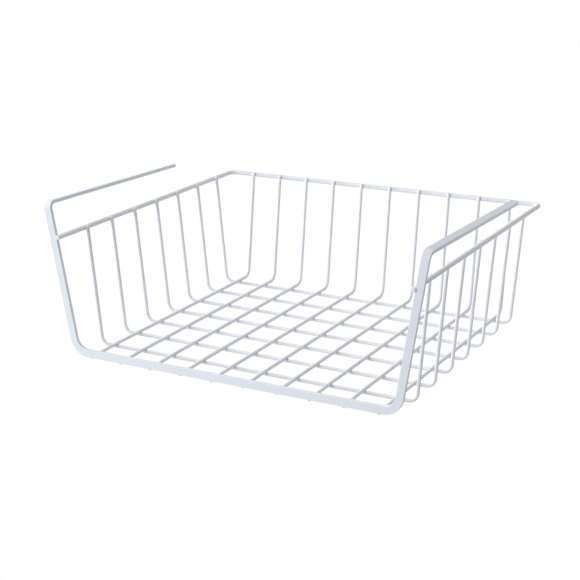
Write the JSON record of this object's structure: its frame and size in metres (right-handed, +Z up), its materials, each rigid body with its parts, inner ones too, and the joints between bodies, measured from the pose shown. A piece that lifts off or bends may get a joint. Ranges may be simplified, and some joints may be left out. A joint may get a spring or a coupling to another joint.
{
  "type": "under shelf basket",
  "caption": "Open-fronted wire basket that hangs below a shelf board from two long flat arms bent back from its front frame.",
  "frame": {"origin": "centre of the bounding box in X and Y, at the undersides of the cross wires in Z", "axes": "+X to the right seen from the open front, +Y from the open front to the back wall, +Z up"},
  "size_m": [0.36, 0.295, 0.14],
  "materials": {
    "powder_coated_steel": "satin white powder coat on steel"
  },
  "bodies": {
    "root": {"front_frame": "powder_coated_steel", "rim_wire": "powder_coated_steel", "cross_wire_1": "powder_coated_steel", "cross_wire_2": "powder_coated_steel", "cross_wire_3": "powder_coated_steel", "cross_wire_4": "powder_coated_steel", "cross_wire_5": "powder_coated_steel", "cross_wire_6": "powder_coated_steel", "cross_wire_7": "powder_coated_steel", "floor_wire_1": "powder_coated_steel", "floor_wire_2": "powder_coated_steel", "floor_wire_3": "powder_coated_steel", "floor_wire_4": "powder_coated_steel", "floor_wire_5": "powder_coated_steel", "floor_wire_6": "powder_coated_steel", "floor_wire_7": "powder_coated_steel", "floor_wire_8": "powder_coated_steel", "floor_wire_9": "powder_coated_steel", "floor_wire_10": "powder_coated_steel"}
  },
  "joints": []
}
